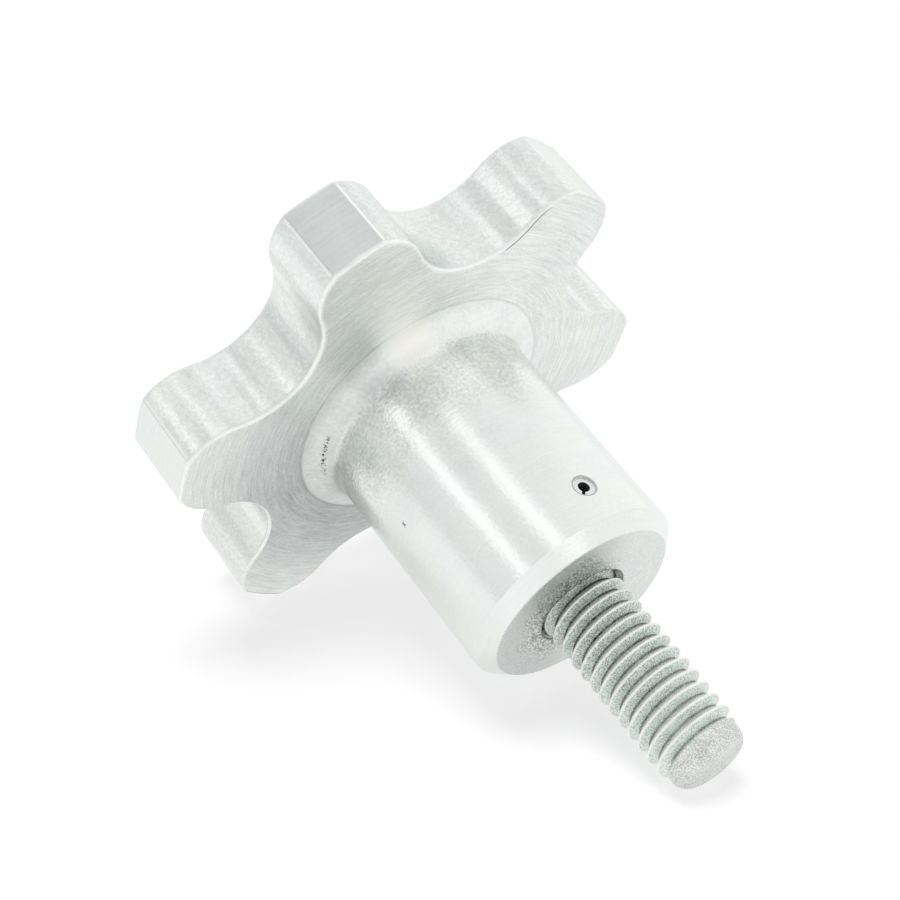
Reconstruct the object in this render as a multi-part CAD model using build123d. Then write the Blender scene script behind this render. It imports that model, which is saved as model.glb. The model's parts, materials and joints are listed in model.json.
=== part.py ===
from build123d import *
import os
from math import asin, atan2, ceil, cos, degrees, hypot, pi, radians, sin, tan

# Six-lobed clamping knob with a threaded stud pinned into its hub. It lies as it comes to
# rest on a bench, on the front edges of two lobes and on the stud's nose.
#
# The pieces are drawn on the knob's own axis: z = 0 is the star's front face, the stud points
# along +z, and the lobes stand at 0, 60, 120 ... degrees about z, so that -Y falls between two
# of them. rest_frame() then lays everything down with -Y towards the bench.

# Star head: cast with round-ended lobes, which are turned off at the outside diameter
LOBES = 6
STAR_DIAMETER = 61.0
STAR_THICKNESS = 10.0
WEB_DIAMETER = 41.6
LOBE_WIDTH = 12.5
LOBE_TIP_CHORD = 5.8
EDGE_BREAK = 0.5

# Hub, in one piece with the star
HUB_DIAMETER = 25.0
HUB_LENGTH = 30.5
HUB_CHAMFER = 1.7
HUB_ROOT_FILLET = 3.0
BORE_COUNTERSINK = 0.5
BORE_RUNOUT = 1.5
DRILL_POINT_ANGLE = 118.0

# Stud: 3/8 in, 16 threads to the inch
STUD_DIAMETER = 9.525
STUD_EXPOSED = 22.0
STUD_ENGAGED = 18.0
STUD_END_CHAMFER = 0.8
THREAD_PITCH = 25.4 / 16
THREAD_DEPTH = 0.9
THREAD_ROOT_FLAT = 0.2
THREAD_FLANK_ANGLE = 30.0
THREAD_END_TURN = 208.4
THREAD_OVERCUT = 0.2
NOSE_LENGTH = 2.3
NOSE_DIAMETER = 8.6
NOSE_ROUND = 1.5

# Slotted spring pin across the hub and the stud
PIN_DIAMETER = 2.5
PIN_WALL = 0.6
PIN_SLOT = 0.35
PIN_SLOT_TURN = 40.0
PIN_FROM_END = 6.0
PIN_RECESS = 0.25

star_radius = STAR_DIAMETER / 2
web_radius = WEB_DIAMETER / 2
lobe_radius = LOBE_WIDTH / 2
hub_radius = HUB_DIAMETER / 2
stud_radius = STUD_DIAMETER / 2
nose_radius = NOSE_DIAMETER / 2
pin_radius = PIN_DIAMETER / 2
half_step = pi / LOBES
stud_root = HUB_LENGTH - STUD_ENGAGED
stud_tip = HUB_LENGTH + STUD_EXPOSED

# A lobe's round end meets the outside diameter at the two ends of its tip's chord
tip_angle = asin(LOBE_TIP_CHORD / STAR_DIAMETER)
end_angle = asin(LOBE_TIP_CHORD / LOBE_WIDTH)
lobe_centre = star_radius * cos(tip_angle) - lobe_radius * cos(end_angle)

# A scallop is the one arc that touches the web circle and both neighbouring lobe ends
lobe_reach = lobe_centre * cos(half_step)
web_to_centre = hypot(web_radius - lobe_reach, lobe_centre * sin(half_step))
scallop_radius = (web_to_centre**2 - lobe_radius**2) / (2 * (lobe_reach + lobe_radius - web_radius))
scallop_centre = web_radius + scallop_radius


def arc(centre, radius, start, end):
    return CenterArc(centre, radius, degrees(start), degrees(end - start))


def star_outline():
    lobe_place = (lobe_centre, 0)
    scallop_place = (scallop_centre * cos(half_step), scallop_centre * sin(half_step))
    side_angle = atan2(scallop_place[1], scallop_place[0] - lobe_centre)
    step = [
        arc((0, 0), star_radius, -tip_angle, tip_angle),
        arc(lobe_place, lobe_radius, end_angle, side_angle),
        arc(lobe_place, lobe_radius, -side_angle, -end_angle),
        arc(scallop_place, scallop_radius, pi + side_angle, pi + 2 * half_step - side_angle),
    ]
    turns = [Rot(0, 0, 360 / LOBES * i) for i in range(LOBES)]
    return make_face(Wire([turn * edge for turn in turns for edge in step]))


def star():
    blank = Pos(0, 0, -STAR_THICKNESS) * extrude(star_outline(), STAR_THICKNESS)
    return fillet(blank.faces().filter_by(Axis.Z).edges(), EDGE_BREAK)


def circle_edges(solid, radius, height):
    level = solid.edges().filter_by(GeomType.CIRCLE).filter_by_position(Axis.Z, height, height)
    return level.filter_by(lambda edge: abs(edge.radius - radius) < EDGE_BREAK)


def turned(*profile):
    with BuildPart() as piece:
        with BuildSketch(Plane.XZ):
            with BuildLine():
                Polyline(*profile, close=True)
            make_face()
        revolve(axis=Axis.Z)
    return piece.part


def bore():
    point = stud_radius / tan(radians(DRILL_POINT_ANGLE / 2))
    floor = stud_root - BORE_RUNOUT
    return turned(
        (0, floor - point),
        (stud_radius, floor),
        (stud_radius, HUB_LENGTH - BORE_COUNTERSINK),
        (stud_radius + BORE_COUNTERSINK, HUB_LENGTH),
        (0, HUB_LENGTH),
    )


def pin_place():
    return Pos(0, 0, HUB_LENGTH - PIN_FROM_END) * Rot(90, 0, 0)


def pin_hole():
    return pin_place() * Cylinder(pin_radius, 2 * HUB_DIAMETER)


def knob():
    body = star() + Cylinder(hub_radius, HUB_LENGTH, align=(Align.CENTER, Align.CENTER, Align.MIN))
    body = fillet(circle_edges(body, hub_radius, 0), HUB_ROOT_FILLET)
    body = chamfer(circle_edges(body, hub_radius, HUB_LENGTH), HUB_CHAMFER)
    return body - bore() - pin_hole()


def thread_turn():
    # One turn of the groove, cut a little proud of the stud so that it opens cleanly
    root_radius = stud_radius - THREAD_DEPTH
    proud_radius = stud_radius + THREAD_OVERCUT
    root_half = THREAD_ROOT_FLAT / 2
    proud_half = root_half + (THREAD_DEPTH + THREAD_OVERCUT) * tan(radians(THREAD_FLANK_ANGLE))
    with BuildSketch(Plane.ZX) as section:
        Polygon(
            (-root_half, root_radius),
            (root_half, root_radius),
            (proud_half, proud_radius),
            (-proud_half, proud_radius),
            align=None,
        )
    helix = Helix(THREAD_PITCH, THREAD_PITCH, root_radius)
    return sweep(section.sketch.faces()[0], path=helix, is_frenet=True)


def stud_blank():
    shoulder = stud_tip - NOSE_LENGTH
    blank = turned(
        (0, stud_root),
        (stud_radius - STUD_END_CHAMFER, stud_root),
        (stud_radius, stud_root + STUD_END_CHAMFER),
        (stud_radius, shoulder - (stud_radius - nose_radius)),
        (nose_radius, shoulder),
        (nose_radius, stud_tip),
        (0, stud_tip),
    )
    return fillet(circle_edges(blank, nose_radius, stud_tip), NOSE_ROUND)


def threaded_stud():
    # The thread ends at the nose's shoulder, and its first turn starts out of sight in the bore
    threaded = STUD_EXPOSED - NOSE_LENGTH
    turns = ceil(threaded / THREAD_PITCH) + 1
    turn = thread_turn()
    ends = [HUB_LENGTH + threaded - i * THREAD_PITCH for i in range(turns)]
    grooves = [Pos(0, 0, end - THREAD_PITCH) * turn for end in ends]
    return Rot(0, 0, THREAD_END_TURN) * (stud_blank() - grooves) - pin_hole()


def spring_pin():
    length = HUB_DIAMETER - 2 * PIN_RECESS
    tube = Cylinder(pin_radius, length) - Cylinder(pin_radius - PIN_WALL, length)
    slot = Box(PIN_SLOT, PIN_DIAMETER, length, align=(Align.CENTER, Align.MIN, Align.CENTER))
    return pin_place() * Rot(0, 0, PIN_SLOT_TURN) * (tube - slot)


def rest_frame():
    # The bench touches the rounded front edge of two lobes and the rounded nose of the stud
    low_edge = -star_outline().bounding_box().min.Y
    along = stud_tip - NOSE_ROUND + EDGE_BREAK
    drop = (low_edge - EDGE_BREAK) - (nose_radius - NOSE_ROUND)
    tilt = atan2(drop, along) - asin((NOSE_ROUND - EDGE_BREAK) / hypot(along, drop))
    return Plane(origin=(0, 0, 0), x_dir=(0, 1, 0), z_dir=(cos(tilt), 0, -sin(tilt)))


def main():
    frame = rest_frame()
    pieces = {
        "knob": frame * knob(),
        "threaded_stud": frame * threaded_stud(),
        "spring_pin": frame * spring_pin(),
    }
    box = Compound(list(pieces.values())).bounding_box()
    seat = Pos(-box.center().X, -box.center().Y, -box.min.Z)
    os.makedirs("parts", exist_ok=True)
    for name, piece in pieces.items():
        export_step(seat * piece, f"parts/{name}.step")


main()
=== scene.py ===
import json
import math

import bpy
from mathutils import Matrix, Vector

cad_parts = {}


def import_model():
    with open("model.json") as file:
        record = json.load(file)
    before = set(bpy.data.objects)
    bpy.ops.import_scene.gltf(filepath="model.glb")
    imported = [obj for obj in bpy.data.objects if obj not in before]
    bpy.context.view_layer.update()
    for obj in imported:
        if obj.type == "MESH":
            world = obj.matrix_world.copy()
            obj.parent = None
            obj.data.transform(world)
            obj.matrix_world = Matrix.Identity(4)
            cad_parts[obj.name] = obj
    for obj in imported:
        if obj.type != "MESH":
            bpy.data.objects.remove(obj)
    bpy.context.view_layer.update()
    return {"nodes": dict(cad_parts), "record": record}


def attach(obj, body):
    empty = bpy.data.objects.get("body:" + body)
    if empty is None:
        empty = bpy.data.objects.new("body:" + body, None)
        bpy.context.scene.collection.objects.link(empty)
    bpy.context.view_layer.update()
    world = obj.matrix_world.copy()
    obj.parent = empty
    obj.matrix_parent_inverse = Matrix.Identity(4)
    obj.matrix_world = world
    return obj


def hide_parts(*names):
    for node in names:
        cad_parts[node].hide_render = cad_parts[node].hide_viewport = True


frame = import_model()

# A six-lobed aluminium knob that lies on two lobes and on the nose of its stud. The scene is in
# metres, in the part's frame. The knob's own axes have z along the stud, from the star's front
# face, and y away from the bench.

MM = 0.001

# Sizes in millimetres, in the knob's own axes
STAR_RADIUS = 30.5
STAR_THICKNESS = 10.0
EDGE_BREAK = 0.5
HUB_RADIUS = 12.5
HUB_LENGTH = 30.5
HUB_CHAMFER = 1.7
HUB_ROOT_FILLET = 3.0
STUD_ENGAGED = 18.0
STUD_EXPOSED = 22.0
STUD_END_CHAMFER = 0.8
THREAD_PITCH = 25.4 / 16
THREAD_DEPTH = 0.9
THREAD_END_TURN = 208.4
NOSE_LENGTH = 2.3
NOSE_RADIUS = 4.3
NOSE_ROUND = 1.5

PIN_RADIUS = 1.25
PIN_PLACE = HUB_LENGTH - 6.0
NICK_PLACE = 14.4

# Where turns start, and the turns of the marks and of the painted light and shade on the knob, about
# its axis and in radians
SEAM_TURN = math.radians(-60)
HIGHLIGHT_TURN = math.radians(150)
BURR_SHADOW_TURNS = math.radians(71), math.radians(78)
LOW_BURR_SHADOW_TURNS = math.radians(238), math.radians(266)
FACE_SHADE_TURN = math.radians(-110)
TIP_SHADE_TURN = math.radians(120)
RING_SHADE_TURN = math.radians(210)
SHEEN_TURNS = math.radians(103), math.radians(123)
SHADE_WEDGE_TURNS = math.radians(127), math.radians(146)
PITTED_TURNS = math.radians(176), math.radians(203)
NICK_TURN = math.radians(175)

# Tints of the metals
BLACK = (0, 0, 0, 1)
COOL_ALUMINIUM = (0.96, 1.0, 0.985, 1)
PALE_ALUMINIUM = (0.985, 1.0, 0.96, 1)
WARM_ALUMINIUM = (1.0, 0.99, 0.93, 1)
GREEN_ZINC = (0.935, 1.0, 0.96, 1)
PALE_ZINC = (0.98, 1.0, 0.975, 1)
STEEL = (0.98, 0.99, 1.0, 1)

# The room lights dull surfaces with WORLD_FILL. Metal mirrors it at ROOM_LEVEL, with ROOM_SWING
# more on the bright side and less on the other.
WORLD_FILL = 0.4
ROOM_LEVEL = 0.90
ROOM_SWING = 0.12
BRIGHT_SIDE = (-0.2, 0.98, 0)

# The bench's own glow as metal mirrors it and as it is seen, and how much is added to the latter
# far from the knob, between two distances in metres
BENCH_GLOW = 0.68
SEEN_GLOW = 0.57
FAR_GLOW = 0.25
FAR = 0.2, 1.6

# The stud's mount lies on the knob's axis, and the clamping face gives the hub's end along it
mounts = {mount["name"]: mount for mount in frame["record"]["mounts"]}
STUD_RADIUS = mounts["stud"]["dims"]["r_mm"]
axis = Vector(mounts["stud"]["axis"]).normalized()
hub_end = Vector(mounts["stud"]["pos_m"])
hub_end = hub_end + axis * (Vector(mounts["clamping_face"]["pos_m"]) - hub_end).dot(axis)
star_face = hub_end - axis * (HUB_LENGTH * MM)

side = Vector((0, 1, 0))
knob_axes = Matrix((side, axis.cross(side), axis)).transposed().to_4x4()
knob_axes.translation = star_face


# ---------------------------------------------------------------- node trees

class Socket:
    """An output in a node tree. Arithmetic on it adds Math nodes to the same tree."""

    def __init__(self, tree, output):
        self.tree = tree
        self.output = output

    def __add__(self, other):
        return self.tree.math("ADD", self, other)

    def __radd__(self, other):
        return self.tree.math("ADD", other, self)

    def __sub__(self, other):
        return self.tree.math("SUBTRACT", self, other)

    def __rsub__(self, other):
        return self.tree.math("SUBTRACT", other, self)

    def __mul__(self, other):
        return self.tree.math("MULTIPLY", self, other)

    def __rmul__(self, other):
        return self.tree.math("MULTIPLY", other, self)

    def __truediv__(self, other):
        return self.tree.math("DIVIDE", self, other)

    def __rtruediv__(self, other):
        return self.tree.math("DIVIDE", other, self)

    def __pow__(self, other):
        return self.tree.math("POWER", self, other)

    def part(self, name):
        return Socket(self.tree, self.output.node.outputs[name])


class Tree:
    """A node tree that is written as expressions."""

    def __init__(self, node_tree):
        self.nodes = node_tree.nodes
        self.links = node_tree.links

    def add(self, kind, settings=None, sockets=None, out=0):
        node = self.nodes.new(kind)
        for name, value in (settings or {}).items():
            setattr(node, name, value)
        for name, value in (sockets or {}).items():
            if isinstance(value, Socket):
                self.links.new(value.output, node.inputs[name])
            else:
                node.inputs[name].default_value = value
        return Socket(self, node.outputs[out]) if len(node.outputs) else node

    def math(self, operation, *values):
        return self.add("ShaderNodeMath", {"operation": operation}, dict(enumerate(values)))

    def step(self, value, low, high):
        """0 below low, 1 above high, smooth between."""
        sockets = {"Value": value, "From Min": low, "From Max": high}
        return self.add("ShaderNodeMapRange", {"interpolation_type": "SMOOTHSTEP"}, sockets)

    def noise(self, vector, size, detail=2.0, roughness=0.5):
        sockets = {"Vector": vector, "Scale": 1 / size, "Detail": detail, "Roughness": roughness}
        return self.add("ShaderNodeTexNoise", {"noise_dimensions": "3D"}, sockets)

    def band(self, value, low, high, blur, inset=0.0):
        """1 between low and high, 0 outside, smooth over blur on both sides of each end."""
        rise = self.step(value, low + inset - blur, low + inset + blur)
        return rise * (1 - self.step(value, high - inset - blur, high - inset + blur))

    def scratch(self, across, up, lean, half_length):
        """A short thin stroke through the origin of two surface distances."""
        upright = (1 - lean * lean) ** 0.5
        off = up * lean - across * upright
        along = up * upright + across * lean
        return self.band(off, -0.06, 0.06, 0.04) * self.band(along, -half_length, half_length, 0.1)

    def vector(self, x, y, z):
        return self.add("ShaderNodeCombineXYZ", {}, {"X": x, "Y": y, "Z": z})

    def mix(self, factor, low, high):
        sockets = {0: factor, 6: low, 7: high}
        return self.add("ShaderNodeMix", {"data_type": "RGBA"}, sockets, out=2)

    def bump(self, height, distance):
        sockets = {"Height": height, "Distance": distance, "Strength": 1.0}
        return self.add("ShaderNodeBump", {}, sockets)


def material_tree(name):
    """A new material without nodes, and its tree."""
    material = bpy.data.materials.new(name)
    material.use_nodes = True
    material.node_tree.nodes.clear()
    return material, Tree(material.node_tree)


class KnobPoint:
    """The surface point in the knob's own axes, in millimetres, with its radius and its turn."""

    def __init__(self, tree):
        point = tree.add("ShaderNodeTexCoord", out="Object")
        sockets = {
            "Vector": point,
            "Location": knob_axes.translation,
            "Rotation": knob_axes.to_euler(),
            "Scale": (MM, MM, MM),
        }
        self.vector = tree.add("ShaderNodeMapping", {"vector_type": "TEXTURE"}, sockets)
        split = tree.add("ShaderNodeSeparateXYZ", {}, {"Vector": self.vector})
        self.x = split
        self.y = split.part("Y")
        self.z = split.part("Z")
        self.radius = (self.x * self.x + self.y * self.y) ** 0.5
        turn = tree.math("ARCTAN2", self.y, self.x)
        self.turn = tree.math("WRAP", turn, SEAM_TURN + 2 * math.pi, SEAM_TURN)
        self.tree = tree

    def lathe(self, place, per_mm, round_about):
        """Coordinates for marks that run round the axis: fine across them, long along them."""
        x = self.x / self.radius * round_about
        return self.tree.vector(place * per_mm, x, self.y / self.radius * round_about)

    def facing(self, turn):
        """The cosine of the angle between the point's turn and the given one."""
        return (self.x * math.cos(turn) + self.y * math.sin(turn)) / self.radius


def metal(tree, tone, tint, roughness, relief, metallic=1.0):
    """A metal with a reflectance, a tint, a roughness and a relief in millimetres."""
    sockets = {
        "Base Color": tree.mix(tone, BLACK, tint),
        "Metallic": metallic,
        "Roughness": roughness,
        "Normal": tree.bump(relief, MM),
    }
    shader = tree.add("ShaderNodeBsdfPrincipled", {}, sockets)
    tree.add("ShaderNodeOutputMaterial", {}, {"Surface": shader})


def cast_skin(tree, point):
    """Cast walls of the star: pale, with painted reflections in bands from front to back, a fine
    crystalline grain and painted glints.
    """
    reflection_bands = tree.noise(tree.vector(point.x * 0.30, point.y * 0.30, point.z * 0.02 + 4.0), 1.0, 2.0)
    patches = tree.noise(point.vector, 3.2, 3.0)
    grain = tree.noise(point.vector, 0.45, 3.0)
    glints = tree.step(tree.noise(point.vector, 0.3, 1.0), 0.60, 0.72)
    tone = 0.80 + (patches - 0.5) * 0.14 + (grain - 0.5) * 0.26 + glints * 0.08
    # Painted reflections in bands from front to back
    tone = tone + tree.step(reflection_bands, 0.43, 0.55) * 0.10
    # Painted shade on the walls deep between the lobes, near the hub
    tone = tone - (1 - tree.step(point.radius, 21.2, 25.0)) * 0.045
    rough = 0.26 + (patches - 0.5) * 0.12
    relief = (patches - 0.5) * 0.05 + (grain - 0.5) * 0.02
    return tone, rough, relief


def skimmed_tip(tree, point):
    """The lobes' turned ends: even, with fine lines round the axis. One of them is darker with painted
    shade.
    """
    lines = tree.noise(point.lathe(point.z, 5.0, 3.0), 1.0, 2.0)
    grain = tree.noise(point.vector, 0.4, 2.0)
    painted_shade = tree.step(point.facing(TIP_SHADE_TURN), 0.9, 0.97)
    tone = 0.89 - painted_shade * 0.20 + (lines - 0.5) * 0.14 + (grain - 0.5) * 0.08
    return tone, 0.30 + (lines - 0.5) * 0.1, (lines - 0.5) * 0.006


def sheen(tree, point):
    """Wedges round the hub's foot: a painted highlight, a painted shade, and the highlight's warm
    tint.
    """
    near = (1 - tree.step(point.radius, 17.0, 26.0)) * tree.step(point.z, -1.0, -0.5)
    painted_highlight = tree.band(point.turn, *SHEEN_TURNS, 0.12)
    shade_wedge = tree.band(point.turn, *SHADE_WEDGE_TURNS, 0.08)
    return (painted_highlight - shade_wedge) * 0.10 * near, painted_highlight * (1 - tree.step(point.radius, 14.5, 18.0))


def turned_face(tree, point):
    """Turned flats: rings, broken arcs and fine scratches about the axis."""
    rings = tree.noise(point.lathe(point.radius, 1.6, 0.5), 1.0, 4.0, 0.7)
    arcs = tree.noise(point.lathe(point.radius, 3.5, 9.0), 1.0, 3.0, 0.65)
    patches = tree.noise(point.vector, 5.0, 3.0)
    grain = tree.noise(point.vector, 0.3, 2.0)
    scores = tree.noise(point.lathe(point.radius, 7.0, 2.5), 1.0, 2.0)
    scores = tree.step(scores, 0.56, 0.66) - tree.step(0.44 - scores, 0.0, 0.10)
    tone = 0.86 + scores * 0.05 + (rings - 0.5) * 0.20 + (arcs - 0.5) * 0.42
    tone = tone + (patches - 0.5) * 0.14 + (grain - 0.5) * 0.26
    # Painted shade on the face's side towards one turn, fading out between 17 and 30 mm, and a thin
    # darker line round the fillet's foot
    painted_shade = tree.step(point.facing(FACE_SHADE_TURN), -0.5, 0.8) * (1 - tree.step(point.radius, 17.0, 30.0))
    foot = tree.band(point.radius, 15.55, 15.75, 0.08) * 0.08
    tone = tone - (painted_shade * 0.31 + foot) * tree.step(point.z, -1.0, -0.5)
    rough = 0.36 + (arcs - 0.5) * 0.20
    relief = (rings - 0.5) * 0.05 + (arcs - 0.5) * 0.03
    return tone, rough, relief


def root_ring(tree, point):
    """The as-cast fillet between the face and the hub, with a short row of pits."""
    grain = tree.noise(point.vector, 0.5, 3.0)
    patches = tree.noise(point.vector, 3.0, 2.0)
    pits = tree.step(tree.noise(point.vector, 0.28, 1.0), 0.52, 0.60)
    pits = pits * tree.band(point.radius, 13.15, 13.45, 0.08)
    pits = pits * tree.band(point.turn, *PITTED_TURNS, 0.06)
    shade = tree.step(point.facing(RING_SHADE_TURN), 0.0, 0.6) * 0.16
    tone = 0.97 + (grain - 0.5) * 0.3 + (patches - 0.5) * 0.16 - shade - pits * 0.7
    rough = 0.5 + (grain - 0.5) * 0.2
    relief = (grain - 0.5) * 0.05 - pits * 0.1
    return tone, rough, relief


def satin_hub(tree, point):
    """The hub: satin with faint turning marks, blotched and grainy towards the star."""
    patches = tree.noise(point.vector, 4.5, 3.0)
    grain = tree.noise(point.vector, 0.36, 2.0)
    marks = tree.noise(point.lathe(point.z, 4.0, 2.0), 1.0, 3.0, 0.6)
    worn = 1 - tree.step(point.z + (patches - 0.5) * 12, 4.5, 14.0)
    tone = 0.88 + (marks - 0.5) * 0.07 + (patches - 0.5) * 0.08 + (grain - 0.5) * 0.08
    tone = tone + worn * ((grain - 0.5) * 0.5 + (patches - 0.5) * 0.4 - 0.01)
    # Lighter towards the hub's end, and darker on the side towards RING_SHADE_TURN: painted light and
    # painted shade
    tone = tone + tree.step(point.z, 10, 26) * 0.03
    tone = tone - tree.step(point.facing(RING_SHADE_TURN), 0.6, 1.0) * 0.07
    rough = 0.23 + (grain - 0.5) * 0.10
    relief = (marks - 0.5) * 0.014 + (grain - 0.5) * (0.014 + worn * 0.01) + (patches - 0.5) * 0.04

    # A dark line round the pin, and a small crossed nick
    from_pin = (point.x * point.x + (point.z - PIN_PLACE) * (point.z - PIN_PLACE)) ** 0.5
    crevice = tree.band(from_pin, PIN_RADIUS, PIN_RADIUS + 0.12, 0.05)
    across = (point.turn - NICK_TURN) * HUB_RADIUS
    up = point.z - NICK_PLACE
    strokes = tree.scratch(across, up, 0.5, 0.35) + tree.scratch(across, up, -0.5, 0.35)
    tone = tone - crevice * 0.5 - strokes * 0.4
    relief = relief - strokes * 0.05
    return tone, rough, relief


def cut_end(tree, point):
    """The hub's end face: matt and speckled, with painted shade on one side, and darker and more
    speckled towards the stud.
    """
    specks = tree.step(tree.noise(point.vector, 0.22, 2.0), 0.40, 0.62)
    sparks = tree.step(tree.noise(point.vector, 0.20, 1.0), 0.64, 0.73)
    patches = tree.noise(point.vector, 2.5, 2.0)
    rings = tree.noise(point.lathe(point.radius, 3.0, 0.7), 1.0, 3.0, 0.6)
    # Painted shade over the end face's side towards -x
    shaded = 1 - tree.step(point.x, -3.0, 4.0)
    near_stud = 1 - tree.step(point.radius + (patches - 0.5) * 5 + (1 - shaded) * 3.2, 5.2, 9.5)
    tone = 0.86 + (rings - 0.5) * 0.12 - shaded * 0.14 - near_stud * 0.12
    tone = tone + (specks - 0.5) * (0.12 + near_stud * 0.55) + sparks * near_stud * 0.6
    rough = 0.48 + (specks - 0.5) * 0.2
    relief = (specks - 0.5) * 0.018 + (rings - 0.5) * 0.01
    return tone, rough, relief


def cast_aluminium():
    """The knob: each finish is laid over the turned face's where its part of the knob lies."""
    material, tree = material_tree("cast_aluminium")
    point = KnobPoint(tree)
    tone, rough, relief = turned_face(tree, point)

    def lay(mask, finish):
        return [base + (top - base) * mask for base, top in zip((tone, rough, relief), finish)]

    # The star's walls and the lobes' ends
    walls = tree.band(point.z, -STAR_THICKNESS, 0, EDGE_BREAK / 2, inset=EDGE_BREAK)
    tone, rough, relief = lay(walls, cast_skin(tree, point))
    tips = walls * tree.step(point.radius, STAR_RADIUS - 0.10, STAR_RADIUS - 0.04)
    tone, rough, relief = lay(tips, skimmed_tip(tree, point))

    # Painted highlights along the front rim and the tips' corners, stronger towards one side, and a
    # thin painted shadow of a burr along two stretches of the rim
    corners = walls * tree.band(point.radius, STAR_RADIUS - 0.22, STAR_RADIUS - 0.06, 0.03)
    edges = tree.band(point.z, -0.40, -0.06, 0.04)
    painted_highlight = tree.noise(point.vector, 0.8, 2.0) * 0.3 + 0.72
    painted_highlight = painted_highlight + tree.step(point.facing(HIGHLIGHT_TURN), -0.3, 0.5) * 0.14
    tone = tree.math("MAXIMUM", tone, (corners + edges) * painted_highlight)
    burr_shadow = tree.band(point.turn, *BURR_SHADOW_TURNS, 0.02) + tree.band(point.turn, *LOW_BURR_SHADOW_TURNS, 0.04)
    tone = tone * (1 - burr_shadow * tree.band(point.z, -0.07, -0.01, 0.005) * 0.5)

    # The fillet, the hub, and the wedges of painted highlight and painted shade round its foot
    hubward = tree.step(point.z, -0.2, 0.05)
    ring_radius = HUB_RADIUS + HUB_ROOT_FILLET
    ring = hubward * (1 - tree.step(point.radius, ring_radius - 0.2, ring_radius))
    tone, rough, relief = lay(ring, root_ring(tree, point))
    hub = hubward * (1 - tree.step(point.radius, HUB_RADIUS + 0.05, HUB_RADIUS + 0.3))
    tone, rough, relief = lay(hub, satin_hub(tree, point))
    wedge, warm = sheen(tree, point)
    hubless = 1 - tree.step(point.z, 1.5, 4.0)
    tone = tone + wedge * hubless

    # The hub's bevel with a faint painted highlight, its end, and painted shade in the mouth of its
    # bore
    bevel_foot = HUB_LENGTH - HUB_CHAMFER
    bevel = tree.step(point.z, bevel_foot - 0.1, bevel_foot + 0.1)
    tone = tone + bevel * 0.015
    end = tree.step(point.z, HUB_LENGTH - 0.12, HUB_LENGTH - 0.04)
    tone, rough, relief = lay(end, cut_end(tree, point))
    mouth = tree.step(point.z, HUB_LENGTH - 1.0, HUB_LENGTH - 0.8)
    mouth = mouth * (1 - tree.step(point.radius, 5.2, 5.45))
    tone = tone * (1 - mouth * 0.6)

    # The tint: cool where the metal is dark, warm on the painted highlight's wedge
    paleness = tree.step(tree.noise(point.vector, 7.0, 2.0), 0.35, 0.65)
    tint = tree.mix(paleness * tree.step(tone, 0.70, 0.84), COOL_ALUMINIUM, PALE_ALUMINIUM)
    tint = tree.mix(warm * hubless * 0.8, tint, WARM_ALUMINIUM)
    metal(tree, tone, tint, rough, relief)
    return material


def coated_steel():
    """A granular zinc coating on the stud, matt, with painted highlights on the crests and painted
    shade in the roots and towards the hub.
    """
    material, tree = material_tree("coated_steel")
    point = KnobPoint(tree)
    grain = tree.step(tree.noise(point.vector, 0.16, 2.0), 0.36, 0.64)
    specks = tree.step(tree.noise(point.vector, 0.13, 1.0), 0.62, 0.74)
    smears = tree.noise(point.lathe(point.z, 1.2, 2.5), 1.0, 3.0)
    depth = STUD_RADIUS - point.radius
    shoulder = HUB_LENGTH + STUD_EXPOSED - NOSE_LENGTH
    nose = tree.step(point.z, shoulder - 0.1, shoulder)
    # The crests carry painted highlights, the roots and the part near the hub painted shade
    crest = (1 - tree.step(depth, 0.02, 0.09)) * (1 - nose)
    root = tree.step(depth, 0.88 * THREAD_DEPTH, THREAD_DEPTH) * (1 - nose)
    outward = tree.step(point.z, HUB_LENGTH, HUB_LENGTH + STUD_EXPOSED)
    tone = 0.73 + outward * 0.24 + crest * 0.24 - root * 0.6 - nose * 0.18
    speckle = 0.66 - crest * 0.36 - nose * 0.3 - root * 0.4
    tone = tone + (grain - 0.5) * speckle + specks * 0.26 + (smears - 0.5) * 0.34
    rough = 0.46 - crest * 0.10 + (grain - 0.5) * 0.12
    relief = grain * 0.018 + specks * 0.008
    pale = tree.math("MAXIMUM", crest, nose)
    metal(tree, tone, tree.mix(pale, GREEN_ZINC, PALE_ZINC), rough, relief, metallic=0.85)
    return material


def spring_steel():
    """The plain bright spring pin."""
    material, tree = material_tree("spring_steel")
    point = KnobPoint(tree)
    grain = tree.noise(point.vector, 0.3, 2.0)
    metal(tree, 0.82 + (grain - 0.5) * 0.3, STEEL, 0.3 + (grain - 0.5) * 0.2, grain * 0.01)
    return material


def dress(node, material):
    """Gives a CAD node its material."""
    mesh = frame["nodes"][node].data
    mesh.materials.clear()
    mesh.materials.append(material)


dress("knob", cast_aluminium())
dress("spring_pin", spring_steel())
stud_coating = coated_steel()
dress("threaded_stud", stud_coating)


# ---------------------------------------------------------------- screw thread

# The grid's size, the shares of the pitch at which the groove's root ends and its sides reach
# the outside, and the distance within which the seam and the two ends close
SIDES = 97
ROWS_PER_TURN = 18
ROOT_END = 1 / ROWS_PER_TURN
SIDE_END = 8 / ROWS_PER_TURN
CLOSE_WITHIN = 0.002 * MM

SCREW_INPUTS = [
    ("Radius", "NodeSocketFloat"),
    ("Depth", "NodeSocketFloat"),
    ("Pitch", "NodeSocketFloat"),
    ("Length", "NodeSocketFloat"),
    ("Threaded", "NodeSocketFloat"),
    ("End Turn", "NodeSocketFloat"),
    ("Nose Length", "NodeSocketFloat"),
    ("Nose Radius", "NodeSocketFloat"),
    ("Nose Round", "NodeSocketFloat"),
    ("Root Chamfer", "NodeSocketFloat"),
    ("Sides", "NodeSocketInt"),
    ("Rows Per Turn", "NodeSocketInt"),
    ("Coating", "NodeSocketMaterial"),
]


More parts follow.
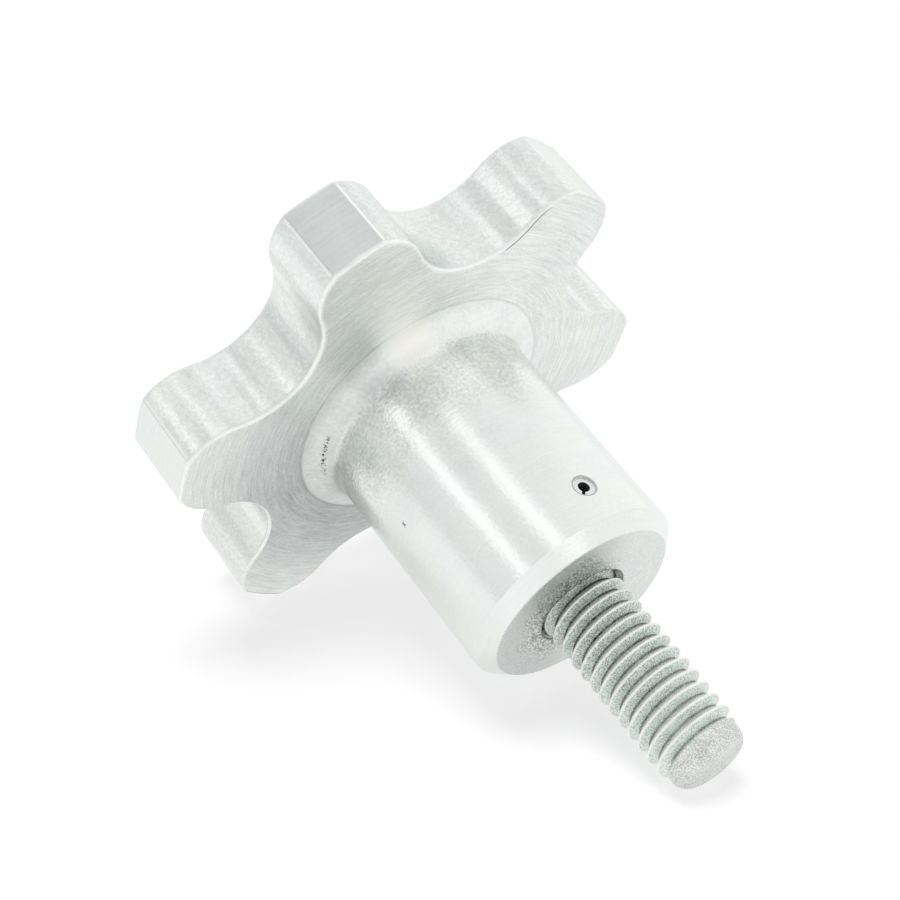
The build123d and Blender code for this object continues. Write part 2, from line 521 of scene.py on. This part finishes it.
def screw_tree():
    """Bends a flat grid into a stud: rows run from the root's centre over the side to the tip's."""
    group = bpy.data.node_groups.new("screw", "GeometryNodeTree")
    for name, kind in SCREW_INPUTS:
        group.interface.new_socket(name, in_out="INPUT", socket_type=kind)
    group.interface.new_socket("Mesh", in_out="OUTPUT", socket_type="NodeSocketGeometry")
    tree = Tree(group)
    size = tree.add("NodeGroupInput")
    radius, depth, pitch = size.part("Radius"), size.part("Depth"), size.part("Pitch")
    length = size.part("Length")

    rows_per_turn = size.part("Rows Per Turn")
    rows = tree.math("CEIL", ((length + radius * 2) / pitch + 1) * rows_per_turn) + 1
    counts = {"Size X": 1.0, "Size Y": 1.0, "Vertices X": size.part("Sides"), "Vertices Y": rows}
    grid = tree.add("GeometryNodeMeshGrid", {}, counts)
    place = tree.add("ShaderNodeSeparateXYZ", {}, {"Vector": tree.add("GeometryNodeInputPosition")})
    round_about = place + 0.5
    turn = round_about * (2 * math.pi)

    # The rows climb with the thread, and one of them lies in the groove's middle
    end_row = (length - size.part("Nose Length") + radius) / pitch - size.part("End Turn") / 360
    first = tree.math("FRACT", end_row * rows_per_turn) / rows_per_turn - 1
    along = ((place.part("Y") + 0.5) * (rows - 1) / rows_per_turn + first + round_about) * pitch
    along = tree.math("MINIMUM", tree.math("MAXIMUM", along, 0.0), length + radius * 2)
    height = tree.math("MAXIMUM", along - radius, 0.0)
    height = tree.math("MINIMUM", height, length)

    # The envelope: chamfered root, shank, shoulder and rounded nose
    to_tip = length - height
    nose_round = size.part("Nose Round")
    dip = tree.math("MAXIMUM", 1 - to_tip / nose_round, 0.0)
    dome = size.part("Nose Radius") - nose_round * (1 - (1 - dip * dip) ** 0.5)
    shoulder = tree.math("MAXIMUM", to_tip - size.part("Nose Length"), 0.0)
    envelope = tree.math("MINIMUM", dome + shoulder, radius)
    envelope = tree.math("MINIMUM", envelope, radius - size.part("Root Chamfer") + height)

    # The groove: a V with a narrow root that winds down from the nose and fades out at both ends
    wound = (to_tip - size.part("Nose Length")) / pitch
    phase = wound + round_about - size.part("End Turn") / 360
    offset = tree.math("FRACT", phase + 0.5) - 0.5
    from_root = {"Value": tree.math("ABSOLUTE", offset), "From Min": ROOT_END, "From Max": SIDE_END}
    groove = 1 - tree.add("ShaderNodeMapRange", {}, from_root)
    turns_in = wound - offset
    starts = size.part("Threaded") / pitch
    faded = tree.step(turns_in, -0.12, 0.12) * (1 - tree.step(turns_in, starts, starts + 0.3))
    side_radius = tree.math("MINIMUM", radius - depth * groove * faded, envelope)
    side_radius = tree.math("MINIMUM", side_radius, along)
    side_radius = tree.math("MINIMUM", side_radius, length + radius * 2 - along)

    cosine, sine = tree.math("COSINE", turn), tree.math("SINE", turn)
    target = tree.vector(side_radius * cosine, side_radius * sine, height)
    moved = tree.add("GeometryNodeSetPosition", {}, {"Geometry": grid, "Position": target})
    closed = tree.add("GeometryNodeMergeByDistance", {}, {"Geometry": moved, "Distance": CLOSE_WITHIN})
    smooth = tree.add("GeometryNodeSetShadeSmooth", {}, {"Geometry": closed, "Shade Smooth": True})
    real = tree.add("GeometryNodeRealizeInstances", {}, {"Geometry": smooth})
    coating = {"Geometry": real, "Material": size.part("Coating")}
    coated = tree.add("GeometryNodeSetMaterial", {}, coating)
    tree.add("NodeGroupOutput", {}, {"Mesh": coated})
    return group


def made_by(group, name, values):
    """Runs a Geometry Nodes tree with the given inputs and returns the plain mesh it makes."""
    carrier = bpy.data.objects.new(name + "_carrier", bpy.data.meshes.new(name + "_carrier"))
    bpy.context.collection.objects.link(carrier)
    modifier = carrier.modifiers.new("nodes", "NODES")
    modifier.node_group = group
    for item in group.interface.items_tree:
        if item.in_out == "INPUT":
            modifier[item.identifier] = values[item.name]
    graph = bpy.context.evaluated_depsgraph_get()
    mesh = bpy.data.meshes.new_from_object(carrier.evaluated_get(graph))
    mesh.name = name
    bpy.data.objects.remove(carrier)
    return mesh


def threaded_stud():
    """The stud with a finer thread, in place of the CAD's."""
    mesh = made_by(screw_tree(), "screw_stud", {
        "Radius": STUD_RADIUS * MM,
        "Depth": THREAD_DEPTH * MM,
        "Pitch": THREAD_PITCH * MM,
        "Length": (STUD_ENGAGED + STUD_EXPOSED) * MM,
        "Threaded": (STUD_EXPOSED - NOSE_LENGTH + THREAD_PITCH) * MM,
        "End Turn": THREAD_END_TURN,
        "Nose Length": NOSE_LENGTH * MM,
        "Nose Radius": NOSE_RADIUS * MM,
        "Nose Round": NOSE_ROUND * MM,
        "Root Chamfer": STUD_END_CHAMFER * MM,
        "Sides": SIDES,
        "Rows Per Turn": ROWS_PER_TURN,
        "Coating": stud_coating,
    })
    mesh.transform(knob_axes @ Matrix.Translation((0, 0, (HUB_LENGTH - STUD_ENGAGED) * MM)))
    stud = bpy.data.objects.new("screw_stud", mesh)
    bpy.context.collection.objects.link(stud)
    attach(stud, "root")
    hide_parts("threaded_stud")


threaded_stud()


# ---------------------------------------------------------------- bench, light, camera

BENCH_HALF = 3.0
CAMERA_PLACE = (0.135709, -0.112710, 0.113072)
CAMERA_RIGHT = (0.61567, 0.78800, -0.00258)
CAMERA_BACK = (0.70606, -0.55019, 0.44584)
CAMERA_LENS = 74.3
CAMERA_SENSOR = 36


def bench():
    """The white bench top, which keeps the knob's shadow."""
    mesh = bpy.data.meshes.new("bench")
    corners = [(x * BENCH_HALF, y * BENCH_HALF, 0) for x, y in ((-1, -1), (1, -1), (1, 1), (-1, 1))]
    mesh.from_pydata(corners, [], [(0, 1, 2, 3)])
    top = bpy.data.objects.new("bench", mesh)
    bpy.context.collection.objects.link(top)
    material, tree = material_tree("bench_white")
    path = tree.add("ShaderNodeLightPath", out="Is Camera Ray")
    glossy = path.part("Is Glossy Ray")
    shade = 0.85 - path * 0.25 - glossy * 0.47

    # The lamps fall off away from the knob, and the bench stays as pale there
    place = tree.add("ShaderNodeTexCoord", out="Object")
    away = tree.add("ShaderNodeVectorMath", {"operation": "LENGTH"}, {0: place}, out="Value")
    glow = path * (SEEN_GLOW + tree.step(away, *FAR) * FAR_GLOW) + glossy * BENCH_GLOW
    sockets = {
        "Base Color": shade,
        "Roughness": 1.0,
        "Specular IOR Level": 0.0,
        "Emission Color": glow,
        "Emission Strength": 1.0,
    }
    shader = tree.add("ShaderNodeBsdfPrincipled", {}, sockets)
    tree.add("ShaderNodeOutputMaterial", {}, {"Surface": shader})
    mesh.materials.append(material)


def world():
    """The white room."""
    made = bpy.data.worlds.new("studio")
    made.use_nodes = True
    made.node_tree.nodes.clear()
    bpy.context.scene.world = made
    tree = Tree(made.node_tree)
    path = tree.add("ShaderNodeLightPath", out="Is Camera Ray")
    glossy = path.part("Is Glossy Ray")
    direction = tree.add("ShaderNodeTexCoord", out="Generated")
    ends = {0: direction, 1: BRIGHT_SIDE}
    dot = tree.add("ShaderNodeVectorMath", {"operation": "DOT_PRODUCT"}, ends, out="Value")
    room = ROOM_LEVEL + dot * ROOM_SWING
    level = path + (1 - path) * (glossy * room + (1 - glossy) * WORLD_FILL)
    backdrop = tree.add("ShaderNodeBackground", {}, {"Color": level, "Strength": 1.0})
    tree.add("ShaderNodeOutputWorld", {}, {"Surface": backdrop})


def lamp(name, azimuth, elevation, distance, size, radiance):
    """A rectangular lamp facing the knob, placed by two angles in degrees and a distance."""
    data = bpy.data.lights.new(name, "AREA")
    data.shape = "RECTANGLE"
    data.size, data.size_y = size
    data.energy = math.pi * size[0] * size[1] * radiance
    made = bpy.data.objects.new(name, data)
    bpy.context.collection.objects.link(made)
    turn = math.radians(azimuth)
    rise = math.radians(elevation)
    level = math.cos(rise)
    away = Vector((math.cos(turn) * level, math.sin(turn) * level, math.sin(rise)))
    made.location = star_face + away * distance
    made.rotation_euler = away.to_track_quat("Z", "Y").to_euler()
    return made


def camera():
    """The camera, from its place and its right and back directions."""
    data = bpy.data.cameras.new("camera")
    made = bpy.data.objects.new("camera", data)
    bpy.context.collection.objects.link(made)
    bpy.context.scene.camera = made
    data.lens = CAMERA_LENS
    data.sensor_width = CAMERA_SENSOR
    right = Vector(CAMERA_RIGHT).normalized()
    back = Vector(CAMERA_BACK).normalized()
    up = back.cross(right)
    made.matrix_world = Matrix((right, up, back)).transposed().to_4x4()
    made.location = CAMERA_PLACE


bench()
world()

# The key lights the bench and the coating. The strips draw the hub's highlights.
key = lamp("key_softbox", -100, 82, 1.2, (0.6, 0.6), 5.3)
key.visible_glossy = False
lamp("left_strip", -104, 34, 0.8, (0.25, 0.15), 0.53)
lamp("top_strip", -90, 71, 0.8, (0.25, 0.17), 0.42)
lamp("low_strip", -106, 16, 0.8, (0.25, 0.2), 0.06)
lamp("front_panel", 0, 8, 0.8, (0.3, 0.2), 0.3)
camera()

scene = bpy.context.scene
scene.view_settings.view_transform = "Standard"
